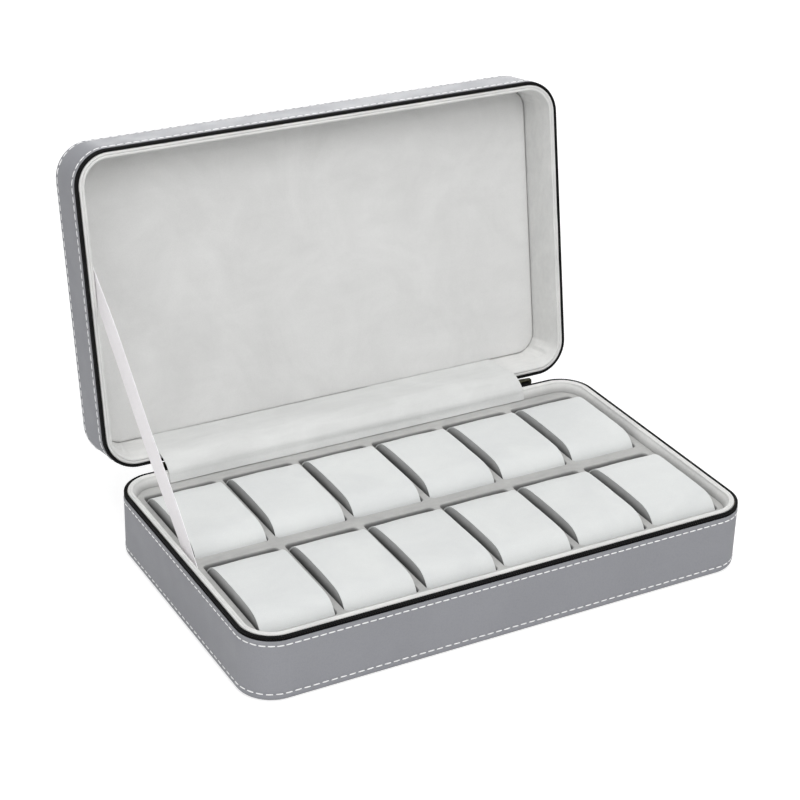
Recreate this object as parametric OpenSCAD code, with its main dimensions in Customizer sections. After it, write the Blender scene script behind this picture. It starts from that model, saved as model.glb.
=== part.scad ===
// Travel case for twelve watches, shown open. Millimetres.
// The origin is the centre of the base's underside. +X is to the right, +Z is up,
// and the hinge is along the back, at +Y. Each half is a board shell with leather
// outside and velvet inside. The rims carry the two halves of a zip.

/* [Case] */
// Outside length
case_w = 335; // [325:1:360]
// Outside depth
case_d = 200; // [192:1:220]
// Outside height when it is closed
case_h = 80; // [76:1:100]
// Height of the base half, to the parting line
base_h = 43; // [43:1:44]
// Outside corner radius in plan
corner_r = 22; // [18:1:26]
// Angle at which the ribbon stops the lid
lid_open = 100.03; // [98:0.01:102]

/* [Shell] */
// Leather thickness
leather_t = 1; // [0.8:0.1:1.2]
// Rounding of the leather at the bottom and back edges
edge_r = 3; // [2.5:0.1:4]
// Width of the leather turned under each panel
hem_w = 6.5; // [5:0.5:8]
// Board thickness
board_t = 2.5; // [2:0.1:2.8]
// Height of the black zip band under each rim
zip_band = 3.2; // [3:0.1:3.6]
// Diameter of the zip coil
coil_d = 2.2; // [2:0.1:2.4]
// Half length of the hinge, where there is no zip
hinge_half = 125; // [100:1:130]

/* [Tray] */
// Distance between pillow centres along the case
pitch = 52.3; // [52:0.1:53]
// Slot width
slot_w = 47.5; // [47:0.1:48]
// Slot length
slot_d = 80; // [79.5:0.1:80.5]
// Height of the tray's top face
tray_z = 36; // [35.5:0.1:36.5]
// Velvet thickness on the tray
velvet_t = 0.8; // [0.6:0.1:1]
// Width of the rib between the two rows
rib_w = 8.4; // [8:0.1:9]

/* [Pillow] */
// Pillow width at its ends
pillow_w = 46.4; // [45:0.1:46.6]
// Pillow length at its middle
pillow_d = 76.6; // [75:0.1:78.8]
// Top of the crown
pillow_top = 43.7; // [43:0.1:46]
// Radius of the crown along the pillow
crown_r = 600; // [400:10:800]
// Radius of the crown across the pillow, and of its ends in plan
cross_r = 221; // [200:1:260]
// Radius of the roll at each end
roll_r = 15; // [11:0.5:16]
// Radius of the drawn-in sides
waist_r = 900; // [800:50:1000]
// Thickness of the pillow cover
cover_t = 1.2; // [1:0.1:1.5]

/* [Hidden] */
$fn = 72;
fine = 360;
columns = 6;
rim_gap = 0.4;
shell_base = base_h - rim_gap/2;
shell_lid = case_h - base_h - rim_gap/2;
hinge_y = case_d/2 + 4;
hinge_z = base_h - 4;
inner_z = leather_t + board_t;
board_in = leather_t + board_t;
rim_t = 2.4;
tape_t = 0.6;
tape_deep = 9.2;
bead_r = 0.9;
foot_in = 8;
tray_in = 5;
floor_t = 0.8;
skirt = 12;
pad_in = 8.6;
pad_edge = 1.2;
pad_top = 7;
row_y = rib_w/2 + slot_d/2;
slot_r = 3;
pillow_z = inner_z + floor_t + 0.1;
rows = ["back", "front"];
shell_nodes = ["base_bottom_leather", "base_side_leather", "base_floor_board",
    "base_wall_board", "base_zip_tape", "base_zip_coil", "base_wall_lining",
    "base_floor_lining", "tray_ledge_board", "tray_rib_board",
    "tray_divider_boards", "tray_velvet_cover", "hinge_spine", "hinge_liner",
    "zip_end_tapes", "zip_end_stops", "stay_ribbon", "lid_back_leather",
    "lid_side_leather", "lid_back_board", "lid_wall_board", "lid_zip_tape",
    "lid_zip_coil", "lid_wall_lining", "lid_pad_foam", "lid_pad_cover",
    "zip_slider_right", "zip_slider_left", "zip_pull_right", "zip_pull_left"];

// ---- plan outlines and shell sections ----

// Rectangle with round corners, about the origin.
module rounded(w, d, r) {
    square([w - 2*r, d], center = true);
    square([w, d - 2*r], center = true);
    for (sx = [-1, 1], sy = [-1, 1])
        translate([sx*(w/2 - r), sy*(d/2 - r)]) circle(r = r);
}

// The case's outline drawn in by a distance, as a plate between two heights.
module plate(inset, z0, z1) {
    translate([0, 0, z0]) linear_extrude(z1 - z0)
        rounded(case_w - 2*inset, case_d - 2*inset, corner_r - inset);
}

// Carries a section round the case. Its x is the distance in from the outline.
module swept_wall() {
    for (a = [0:90:270]) {
        across = a % 180 == 0 ? case_w : case_d;
        along = (a % 180 == 0 ? case_d : case_w) - 2*corner_r;
        rotate([0, 0, a]) {
            translate([across/2, along/2, 0]) rotate([90, 0, 0])
                linear_extrude(along) mirror([1, 0]) children();
            translate([across/2 - corner_r, along/2, 0])
                rotate_extrude(angle = 90)
                    translate([corner_r, 0]) mirror([1, 0]) children();
        }
    }
}

// Leather on the wall, round the edge and under the panel.
module leather_section(h) {
    translate([0, edge_r]) square([leather_t, h - zip_band - edge_r]);
    translate([edge_r, 0]) square([hem_w, leather_t]);
    intersection() {
        square(edge_r);
        translate([edge_r, edge_r]) difference() {
            circle(r = edge_r);
            circle(r = edge_r - leather_t);
        }
    }
}

// Wall board, rounded to lie in the leather's edge.
module board_section(h) {
    translate([leather_t, edge_r]) square([board_t, h - rim_t - edge_r]);
    translate([edge_r, leather_t]) square([board_in - edge_r, edge_r - leather_t]);
    intersection() {
        translate([leather_t, leather_t]) square(edge_r - leather_t);
        translate([edge_r, edge_r]) circle(r = edge_r - leather_t);
    }
}

// The part of the zip tape that is sewn between the leather and the board.
module tape_root_section(h) {
    translate([leather_t, h - tape_deep]) square([tape_t, tape_deep - zip_band + tape_t]);
}

// Zip tape: its sewn root, the ledge over the leather and the upright to the coil.
module tape_section(h) {
    tape_root_section(h);
    translate([0.3, h - zip_band]) square([leather_t + tape_t - 0.3, tape_t]);
    difference() {
        translate([0.3, h - zip_band]) square([tape_t, zip_band - coil_d/2]);
        coil_section(h);
    }
}

// Half of the closed zip: one bead of coil along the rim.
module coil_section(h) {
    translate([coil_d/2, h - coil_d/2]) circle(d = coil_d);
}

// Two soft rolls that bind the rim, inside the zip.
module rim_section(h) {
    edge = coil_d + 0.1;
    for (n = [0, 1])
        translate([edge + bead_r + n*1.6, h - bead_r]) circle(r = bead_r);
    translate([edge, h - rim_t]) square([1.6 + 2*bead_r, rim_t - bead_r]);
}

// Base lining: rolls at the rim, a sloping foot on the tray and the hidden wall.
module base_lining_section(h) {
    rim_section(h);
    polygon([[board_in, inner_z], [tray_in, inner_z], [tray_in, tray_z],
        [foot_in, tray_z], [5.7, h - rim_t + 1.5], [board_in, h - rim_t + 1.5]]);
}

// Lid lining: rolls at the rim and one sloping, padded face down to the back.
module lid_lining_section(h) {
    rim_section(h);
    polygon([[board_in, inner_z], [foot_in, inner_z], [5.7, h - rim_t + 1.5],
        [board_in, h - rim_t + 1.5]]);
}

// Leaves out the stretch along the hinge, where the rims have no zip.
module outside_hinge() {
    difference() {
        children();
        translate([-hinge_half, case_d/2 - 12, -1]) cube([2*hinge_half, 24, case_h + 2]);
    }
}

// Wall board with the rebate for the sewn tape.
module wall_board(h) {
    difference() {
        swept_wall() board_section(h);
        outside_hinge() swept_wall() tape_root_section(h);
    }
}

// Turns the lid from closed to where the ribbon holds it.
module open_lid() {
    translate([0, hinge_y, hinge_z]) rotate([-lid_open, 0, 0])
        translate([0, -hinge_y, -hinge_z]) children();
}

// The lid's shell is drawn from its outer face, then turned over onto the base.
module lid_place() {
    open_lid() translate([0, 0, case_h]) mirror([0, 0, 1]) children();
}

// ---- base ----

module base_bottom_leather() {
    color([0.42, 0.42, 0.44]) plate(edge_r + hem_w, 0, leather_t);
}

module base_side_leather() {
    color([0.45, 0.45, 0.47]) swept_wall() leather_section(shell_base);
}

module base_floor_board() {
    color([0.55, 0.5, 0.42]) plate(board_in, leather_t, inner_z);
}

module base_wall_board() {
    color([0.55, 0.5, 0.42]) wall_board(shell_base);
}

module base_zip_tape() {
    color([0.06, 0.06, 0.06]) outside_hinge() swept_wall() tape_section(shell_base);
}

module base_zip_coil() {
    color([0.1, 0.1, 0.1]) outside_hinge() swept_wall() coil_section(shell_base);
}

module base_wall_lining() {
    color([0.8, 0.8, 0.8]) swept_wall() base_lining_section(shell_base);
}

module base_floor_lining() {
    color([0.7, 0.7, 0.7]) plate(tray_in, inner_z, inner_z + floor_t);
}

// ---- tray ----

// Puts a child at each slot of both rows.
module at_slots() {
    for (sy = [-1, 1]) for (n = [1:columns])
        translate([(n - (columns + 1)/2)*pitch, sy*row_y, 0]) children();
}

field_w = (columns - 1)*pitch + slot_w;
field_d = 2*slot_d + rib_w;
tray_floor = inner_z + floor_t;
board_top = tray_z - velvet_t;

module tray_ledge_board() {
    color([0.6, 0.55, 0.46]) difference() {
        plate(tray_in, tray_floor, board_top);
        cube([field_w + 2*velvet_t, field_d + 2*velvet_t, 2*case_h], center = true);
    }
}

module tray_rib_board() {
    color([0.6, 0.55, 0.46]) translate([0, 0, tray_floor])
        translate([-field_w/2 - velvet_t, velvet_t - rib_w/2, 0])
            cube([field_w + 2*velvet_t, rib_w - 2*velvet_t, board_top - tray_floor]);
}

module tray_divider_boards() {
    t = pitch - slot_w - 2*velvet_t;
    color([0.6, 0.55, 0.46])
        for (side = [0, 1]) mirror([0, side, 0]) for (n = [-2:2])
            translate([n*pitch - t/2, rib_w/2 - velvet_t, tray_floor])
                cube([t, slot_d + 2*velvet_t, board_top - tray_floor]);
}

module tray_velvet_cover() {
    color([0.78, 0.78, 0.79]) difference() {
        union() {
            plate(tray_in, board_top, tray_z);
            at_slots() translate([0, 0, tray_z - skirt]) linear_extrude(skirt)
                rounded(slot_w + 2*velvet_t, slot_d + 2*velvet_t, slot_r + velvet_t);
        }
        at_slots() translate([0, 0, tray_z - skirt - 1]) linear_extrude(skirt + 2)
            rounded(slot_w, slot_d, slot_r);
    }
}

// ---- hinge and ribbon ----

// A point of the closed lid, in depth and height, where the open lid has it.
function on_lid(y, z) = [
    hinge_y + (y - hinge_y)*cos(lid_open) + (z - hinge_z)*sin(lid_open),
    hinge_z - (y - hinge_y)*sin(lid_open) + (z - hinge_z)*cos(lid_open)];

// A smooth line through the points, with k steps between two of them.
function curve(p, k) = let (last = len(p) - 1) concat(
    [for (i = [0:last - 1], j = [0:k - 1])
        let (t = j/k, a = p[max(i - 1, 0)], b = p[i], c = p[i + 1],
            d = p[min(i + 2, last)])
        b + ((c - a)*t + (2*a - 5*b + 4*c - d)*t*t + (3*b - a - 3*c + d)*t*t*t)/2],
    [p[last]]);

// The same line moved sideways, to the left when the distance is positive.
function beside(p, distance) = let (last = len(p) - 1) [for (i = [0:last])
    let (v = p[min(i + 1, last)] - p[max(i - 1, 0)])
    p[i] + distance*[-v[1], v[0]]/norm(v)];

// A sheet across the case with this line as one face.
module sheet(line, thickness, half) {
    other = beside(line, thickness);
    n = len(line) - 1;
    rotate([90, 0, 90]) translate([0, 0, -half]) linear_extrude(2*half)
        polygon(concat(line, [for (i = [0:n]) other[n - i]]));
}

// Leather across the outside of the hinge, from the base's back to the lid's.
module hinge_spine() {
    back = case_d/2;
    color([0.45, 0.45, 0.47]) sheet(curve([
        [back + 0.05, base_h - 13], [back + 0.25, base_h - 4.4],
        [back + 2, base_h - 2.6], [back + 6, base_h - 1.7],
        on_lid(back + 0.35, base_h + 4), on_lid(back + 0.35, base_h + 13)], 4),
        -leather_t, hinge_half - 1);
}

// Padded velvet across the inside of the hinge, from the tray to the lid's pad.
module hinge_liner() {
    back = case_d/2;
    color([0.84, 0.84, 0.84]) sheet(curve([
        [back - foot_in - 0.1, tray_z + 0.1], [back - 6.55, tray_z + 4.3],
        [back - 6, tray_z + 6], [back - 4.8, base_h + 0.6],
        [back - 1, base_h + 3.3], [back + 4.5, base_h + 5.4],
        on_lid(back - 6.6, base_h + 0.8), on_lid(back - 6.9, base_h + 10.3),
        on_lid(back - 7.6, base_h + 20.3), on_lid(back - 8.2, case_h - pad_top - 1.3)],
        5), 1, hinge_half);
}

// Ends of the two zip tapes, which cross from rim to rim beside the hinge.
module zip_end_tapes() {
    color([0.06, 0.06, 0.06]) for (side = [0, 1]) mirror([side, 0, 0])
        translate([hinge_half + 0.6, case_d/2 + 0.05, base_h - 2])
            cube([7.6, 8.15, 0.8]);
}

module zip_end_stops() {
    color([0.25, 0.25, 0.2]) for (side = [0, 1]) mirror([side, 0, 0])
        translate([hinge_half - 0.8, case_d/2 + 2, base_h - 2.6]) cube([1.4, 4, 2]);
}

// Flat ribbon that stops the lid: sewn to the tray wall and to the lid's side wall.
module stay_ribbon() {
    half = 13.5/2;
    foot = [7.7 - case_w/2, -1.5, tray_z + 1.6];
    top = on_lid(case_d/2 - 122, base_h + 5);
    head = [6.3 - case_w/2, top[0], top[1]];
    span = norm(head - foot);
    up = (head - foot)/span;
    across = cross(up, [1, 0, 0])/norm(cross(up, [1, 0, 0]));
    face = cross(across, up);
    rise = asin(up[2]);
    low = half/tan(rise);
    high = half/tan(180 - lid_open - rise);
    color([0.87, 0.86, 0.87]) multmatrix([
        [across[0], up[0], face[0], foot[0]],
        [across[1], up[1], face[1], foot[1]],
        [across[2], up[2], face[2], foot[2]],
        [0, 0, 0, 1]])
        linear_extrude(0.4, center = true) polygon([
            [-half, -low], [half, low], [half, span - high], [-half, span + high]]);
}

// ---- lid ----

module lid_back_leather() {
    color([0.42, 0.42, 0.44]) lid_place() plate(edge_r + hem_w, 0, leather_t);
}

module lid_side_leather() {
    color([0.45, 0.45, 0.47]) lid_place() swept_wall() leather_section(shell_lid);
}

module lid_back_board() {
    color([0.55, 0.5, 0.42]) lid_place() plate(board_in, leather_t, inner_z);
}

module lid_wall_board() {
    color([0.55, 0.5, 0.42]) lid_place() wall_board(shell_lid);
}

module lid_zip_tape() {
    color([0.06, 0.06, 0.06]) lid_place() outside_hinge() swept_wall()
        tape_section(shell_lid);
}

module lid_zip_coil() {
    color([0.1, 0.1, 0.1]) lid_place() outside_hinge() swept_wall()
        coil_section(shell_lid);
}

module lid_wall_lining() {
    color([0.76, 0.76, 0.76]) lid_place() swept_wall() lid_lining_section(shell_lid);
}

module lid_pad_foam() {
    color([0.9, 0.88, 0.8]) lid_place()
        plate(pad_in + pad_edge, inner_z, pad_top - velvet_t);
}

// Velvet over the pad, turned down round its edge.
module lid_pad_cover() {
    low = pad_top - pad_edge;
    color([0.82, 0.82, 0.82]) lid_place() {
        plate(pad_in + pad_edge, pad_top - velvet_t, pad_top);
        swept_wall() {
            translate([pad_in, inner_z]) square([pad_edge, low - inner_z]);
            intersection() {
                translate([pad_in, low]) square(pad_edge);
                translate([pad_in + pad_edge, low]) circle(r = pad_edge);
            }
        }
    }
}

// ---- zip sliders ----

// Pin centre of both pulls, in depth and height, and the slider's middle.
pin_y = hinge_y;
pin_z = base_h - 5.7;
slider_x = hinge_half + 6;

// Two plates joined by a neck, with two ears and a pin under the lower plate.
module slider() {
    y0 = case_d/2 + 1;
    for (z = [base_h - 3.5, base_h - 1])
        translate([slider_x - 4.2, y0, z]) cube([9.4, 6.4, 1.3]);
    translate([slider_x + 3.2, pin_y - 0.8, base_h - 2.2]) cube([2, 2, 1.2]);
    for (x = [-3.1, 2.1])
        translate([slider_x + x, pin_y - 1, pin_z - 1]) cube([1, 2, 3.2]);
    translate([slider_x - 3.1, pin_y, pin_z]) rotate([0, 90, 0])
        cylinder(r = 0.7, h = 6.2);
}

// Eye round the pin and a flat tab that hangs from it.
module pull() {
    difference() {
        union() {
            translate([slider_x - 1.7, pin_y, pin_z]) rotate([0, 90, 0])
                cylinder(r = 1.7, h = 3.4);
            translate([slider_x - 1.7, pin_y - 0.7, pin_z - 6]) cube([3.4, 1.4, 6]);
            translate([slider_x, pin_y + 0.7, pin_z - 14]) rotate([90, 0, 0])
                linear_extrude(1.4) rounded(8, 20, 3);
        }
        translate([slider_x - 3, pin_y, pin_z]) rotate([0, 90, 0])
            cylinder(r = 0.78, h = 6);
        translate([slider_x - 5, pin_y - 3, pin_z - 2.9]) cube([3.2, 6, 6]);
        translate([slider_x + 1.8, pin_y - 3, pin_z - 2.9]) cube([3.2, 6, 6]);
    }
}

module zip_slider_right() {
    color([0.27, 0.26, 0.2]) slider();
}

module zip_slider_left() {
    color([0.27, 0.26, 0.2]) mirror([1, 0, 0]) slider();
}

module zip_pull_right() {
    color([0.27, 0.26, 0.2]) pull();
}

module zip_pull_left() {
    color([0.27, 0.26, 0.2]) mirror([1, 0, 0]) pull();
}

// ---- pillows ----

crown_z = pillow_top - crown_r;
roll_y = pillow_d/2 - roll_r;
roll_z = crown_z + sqrt(pow(crown_r - roll_r, 2) - pow(roll_y, 2));
crown_a = asin(roll_y/(crown_r - roll_r));

// A barrel about X: round along the pillow, with its profile crowned across.
module barrel(r) {
    rotate([0, 90, 0]) rotate_extrude($fn = fine) intersection() {
        translate([r - cross_r, 0]) circle(r = cross_r, $fn = fine);
        translate([0, -pillow_w]) square([r, 2*pillow_w]);
    }
}

// Outline of the pillow in plan, with its long sides drawn in.
module pillow_plan() {
    waist = pillow_w/2 - pow(pillow_d/2, 2)/2/waist_r;
    translate([0, 0, pillow_z]) linear_extrude(60) difference() {
        square([pillow_w, pillow_d], center = true);
        for (side = [-1, 1])
            translate([side*(waist + waist_r), 0]) circle(r = waist_r, $fn = 4*fine);
    }
}

// The outside of a pillow: the crown, a roll at each end and the block under
// them, each cut to the plan.
module pillow_form() {
    reach = 2*crown_r;
    intersection() {
        pillow_plan();
        translate([0, 0, crown_z]) barrel(crown_r);
        translate([-pillow_w, 0, crown_z]) rotate([90, 0, 90]) linear_extrude(2*pillow_w)
            polygon([[0, 0], [reach*tan(crown_a), reach], [-reach*tan(crown_a), reach]]);
        translate([-pillow_w, -pillow_d, roll_z - 5]) cube([2*pillow_w, 2*pillow_d, reach]);
    }
    for (side = [-1, 1]) intersection() {
        pillow_plan();
        translate([0, side*roll_y, roll_z]) barrel(roll_r);
    }
    intersection() {
        pillow_plan();
        translate([0, 0, pillow_z]) linear_extrude(roll_z - pillow_z) intersection() {
            translate([0, pillow_d/2 - cross_r]) circle(r = cross_r, $fn = fine);
            translate([0, cross_r - pillow_d/2]) circle(r = cross_r, $fn = fine);
        }
    }
}

// The foam block that the cover is drawn over, with its upper ends cut off aslant.
module pillow_block() {
    half = pillow_w/2 - 1.9;
    end = pillow_d/2 - 1.85;
    low = pillow_z + cover_t;
    cut = roll_y + roll_z + 1.093*roll_r;
    intersection() {
        translate([-half, 0, 0]) rotate([90, 0, 90]) linear_extrude(2*half)
            polygon([[-end, low], [end, low], [end, cut - end],
                [cut - pillow_top, pillow_top], [cut - pillow_top, 60],
                [pillow_top - cut, 60], [pillow_top - cut, pillow_top], [-end, cut - end]]);
        translate([-pillow_w, 0, crown_z]) rotate([0, 90, 0])
            cylinder(r = crown_r - 2*cover_t - 0.2, h = 2*pillow_w, $fn = fine);
    }
}

module pillow_cover() {
    color([0.85, 0.86, 0.87]) difference() {
        pillow_form();
        pillow_block();
    }
}

module pillow_foam() {
    color([0.9, 0.88, 0.8]) pillow_block();
}

// ---- which nodes to draw ----

base_bottom_leather();
base_side_leather();
base_floor_board();
base_wall_board();
base_zip_tape();
base_zip_coil();
base_wall_lining();
base_floor_lining();
tray_ledge_board();
tray_rib_board();
tray_divider_boards();
tray_velvet_cover();
hinge_spine();
hinge_liner();
zip_end_tapes();
zip_end_stops();
stay_ribbon();
lid_back_leather();
lid_side_leather();
lid_back_board();
lid_wall_board();
lid_zip_tape();
lid_zip_coil();
lid_wall_lining();
lid_pad_foam();
lid_pad_cover();
zip_slider_right();
zip_slider_left();
zip_pull_right();
zip_pull_left();
for (r = [0, 1]) for (n = [1:columns])
    translate([(n - (columns + 1)/2)*pitch, (1 - 2*r)*row_y, 0]) {
        pillow_cover();
        pillow_foam();
    }
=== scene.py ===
"""A zip-round travel case for twelve watches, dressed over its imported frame."""

import logging
import math
import random
from collections.abc import Callable, Iterable, Sequence
from dataclasses import dataclass
from enum import Enum

import bpy
from mathutils import Matrix, Vector


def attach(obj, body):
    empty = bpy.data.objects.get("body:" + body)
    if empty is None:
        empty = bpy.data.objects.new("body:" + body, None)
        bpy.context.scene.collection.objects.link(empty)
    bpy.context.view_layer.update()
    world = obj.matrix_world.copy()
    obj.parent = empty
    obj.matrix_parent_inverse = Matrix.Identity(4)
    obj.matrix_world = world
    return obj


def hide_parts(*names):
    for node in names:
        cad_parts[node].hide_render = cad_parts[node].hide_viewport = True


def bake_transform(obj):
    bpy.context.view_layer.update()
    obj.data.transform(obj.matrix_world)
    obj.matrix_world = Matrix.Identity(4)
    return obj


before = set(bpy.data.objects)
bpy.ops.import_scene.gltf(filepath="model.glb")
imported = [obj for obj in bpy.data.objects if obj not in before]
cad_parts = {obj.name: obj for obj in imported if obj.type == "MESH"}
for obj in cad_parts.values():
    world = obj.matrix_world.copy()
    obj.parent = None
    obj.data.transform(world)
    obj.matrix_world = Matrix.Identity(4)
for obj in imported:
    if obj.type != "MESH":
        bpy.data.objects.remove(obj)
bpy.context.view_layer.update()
LOG = logging.getLogger("watch_case")

Piece = bpy.types.Object
Socket = bpy.types.NodeSocket
Colour = tuple[float, float, float, float]
Point = tuple[float, float]
Place = tuple[float, float, float]

MM = 0.001
HINGE = Vector((0.0, 0.104, 0.039))
LID_OPEN = math.radians(100.03)
LID_REST = (
    Matrix.Translation(HINGE)
    @ Matrix.Rotation(-LID_OPEN, 4, "X")
    @ Matrix.Translation(-HINGE)
)
# Heights of the stitched rows on each half of the shut case, in mm: the row beside
# the zip, then the row at the outer edge.
BASE_ROWS = (36.6, 5.0)
LID_ROWS = (49.4, 75.0)


def linear(red: int, green: int, blue: int) -> Colour:
    """Turns a screen colour into the linear colour that a shader takes.

    Args:
        red: Red, 0 to 255.
        green: Green, 0 to 255.
        blue: Blue, 0 to 255.

    Returns:
        The linear colour, opaque.
    """

    def one(level: int) -> float:
        """One channel, by the screen's transfer curve."""
        s = level / 255
        return s / 12.92 if s <= 0.04045 else ((s + 0.055) / 1.055) ** 2.4

    return one(red), one(green), one(blue), 1.0


# ---------------------------------------------------------------- materials


class Tree:
    """A material's node tree, written one node at a time."""

    def __init__(self, name: str) -> None:
        """Starts a material that holds one Principled shader."""
        self.material = bpy.data.materials.new(name)
        self.material.use_nodes = True
        self.nodes = self.material.node_tree.nodes
        self.links = self.material.node_tree.links
        self.shader = self.nodes["Principled BSDF"]

    def add(self, kind: str, **values: object) -> bpy.types.Node:
        """Adds a node and fills its properties and sockets.

        Args:
            kind: The node's type name, without the ShaderNode prefix.
            values: Properties in lower case, and sockets with a capital. A value
                that is a socket of another node is linked.

        Returns:
            The new node.
        """
        node = self.nodes.new("ShaderNode" + kind)
        for key, value in values.items():
            if key[0].islower():
                setattr(node, key, value)
            else:
                self.feed(node, key.replace("_", " "), value)
        return node

    def feed(self, node: bpy.types.Node, socket: str, value: object) -> None:
        """Links or sets one socket of a node.

        Args:
            node: The node.
            socket: The socket's name, or I and its number where names repeat.
            value: A number or a colour to set, or a socket to link.
        """
        numbered = socket[0] == "I" and socket[1:].isdigit()
        into = node.inputs[int(socket[1:]) if numbered else socket]
        if isinstance(value, Socket):
            self.links.new(value, into)
        else:
            into.default_value = value

    def place(self, stretch: Sequence[float] = (1, 1, 1)) -> Socket:
        """Object coordinates, stretched along the axes.

        Args:
            stretch: How many times along X, Y and Z.

        Returns:
            The coordinates.
        """
        where = self.add("TexCoord").outputs["Object"]
        mapping = self.add("Mapping", vector_type="POINT", Vector=where, Scale=tuple(stretch))
        return mapping.outputs["Vector"]

    def noise(
        self, where: Socket, scale: float, detail: float = 3, rough: float = 0.5, twist: float = 0
    ) -> Socket:
        """Cloudy noise at a number of waves per metre."""
        return self.add(
            "TexNoise", Vector=where, Scale=scale, Detail=detail, Roughness=rough, Distortion=twist
        ).outputs["Fac"]

    def tones(self, fac: Socket, low: Colour, high: Colour, start: float, end: float) -> Socket:
        """Goes softly from one tone to another as a pattern rises.

        Args:
            fac: The pattern.
            low: The tone at its low values.
            high: The tone at its high values.
            start: Value at which the first tone starts to give way.
            end: Value from which the second tone is full.

        Returns:
            The colour.
        """
        ramp = self.add("ValToRGB", Fac=fac)
        first, last = ramp.color_ramp.elements
        first.position, last.position = start, end
        first.color, last.color = low, high
        return ramp.outputs["Color"]

    def math(self, operation: str, a: object, b: object = 0.0) -> Socket:
        """One arithmetic step on two values."""
        return self.add("Math", operation=operation, I0=a, I1=b).outputs["Value"]

    def weigh(self, one: Socket, share: float, other: Socket, rest: float) -> Socket:
        """Adds two patterns, each by its own share."""
        parts = self.math("MULTIPLY", one, share), self.math("MULTIPLY", other, rest)
        return self.math("ADD", *parts)

    def spread(self, noise: Socket, low: float, high: float) -> Socket:
        """Spreads a noise, which is mostly 0.3 to 0.7, over a range."""
        span = {"From_Min": 0.3, "From_Max": 0.7, "To_Min": low, "To_Max": high}
        return self.add("MapRange", Value=noise, **span).outputs["Result"]

    def relief(self, layers: Iterable[tuple[Socket, float, float]]) -> Socket:
        """Stacks bump layers.

        Args:
            layers: For each, its height, its strength and its depth in metres.

        Returns:
            The normal of the last layer.
        """
        normal = None
        for height, strength, depth in layers:
            bump = self.add("Bump", Height=height, Strength=strength, Distance=depth)
            if normal is not None:
                self.feed(bump, "Normal", normal)
            normal = bump.outputs["Normal"]
        return normal

    def finish(self, **values: object) -> bpy.types.Material:
        """Fills the shader's sockets.

        Args:
            values: The sockets, each with a value or another node's socket.

        Returns:
            The material.
        """
        for key, value in values.items():
            self.feed(self.shader, key.replace("_", " "), value)
        return self.material


@dataclass(frozen=True)
class Leather:
    """Grey leather with a fine pebble grain, pressed in along its stitching.

    Turn is how far its half stands open. Rows are the stitches' heights in the
    shut case, and press is how far from a row the leather starts to sink, in mm.
    Grain, pores and clouds are waves per metre.
    """

    name: str
    turn: float = 0.0
    rows: tuple[float, ...] = ()
    light: Colour = linear(151, 152, 157)
    dark: Colour = linear(143, 144, 149)
    press: float = 1.1
    grain: float = 1150.0
    pores: float = 2600.0
    clouds: float = 16.0

    def build(self) -> bpy.types.Material:
        """Makes the material.

        Returns:
            The material.
        """
        t = Tree(self.name)
        where = t.place()
        pebbles = t.add(
            "TexVoronoi", feature="SMOOTH_F1", Vector=where, Scale=self.grain, Smoothness=0.35
        ).outputs["Distance"]
        clouds = t.noise(where, self.clouds, 3, 0.6)
        tone = t.tones(t.weigh(pebbles, 0.35, clouds, 0.75), self.light, self.dark, 0.25, 0.75)
        pores = t.noise(where, self.pores, 3, 0.6)
        layers = [(pebbles, 0.3, 0.00013), (pores, 0.15, 0.00006)]
        if self.rows:
            layers.insert(0, (self.groove(t), 0.6, 0.0004))
        return t.finish(
            Base_Color=tone,
            Roughness=t.spread(t.noise(where, 70, 2), 0.46, 0.58),
            Normal=t.relief(layers),
            Specular_IOR_Level=0.4,
        )

    def groove(self, t: Tree) -> Socket:
        """A height that dips along each row of stitches.

        Args:
            t: The material's tree.

        Returns:
            The height, 1 away from the rows.
        """
        height = t.add("SeparateXYZ", Vector=self.closed(t)).outputs["Z"]
        groove = None
        for row in self.rows:
            off = t.math("ABSOLUTE", t.math("SUBTRACT", height, row * MM))
            dip = t.math("SMOOTH_MIN", t.math("MULTIPLY", off, 1 / (self.press * MM)), 1.0)
            groove = dip if groove is None else t.math("MULTIPLY", groove, dip)
        return groove

    def closed(self, t: Tree) -> Socket:
        """Object coordinates turned back to where the shut case has them.

        Args:
            t: The material's tree.

        Returns:
            The coordinates.
        """
        where = t.add("TexCoord").outputs["Object"]
        if not self.turn:
            return where
        pivot = tuple(HINGE)
        moved = t.add("VectorMath", operation="SUBTRACT", I0=where, I1=pivot).outputs["Vector"]
        turned = t.add("VectorRotate", rotation_type="X_AXIS", Vector=moved, Angle=self.turn)
        return t.add(
            "VectorMath", operation="ADD", I0=turned.outputs["Vector"], I1=pivot
        ).outputs["Vector"]


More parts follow.
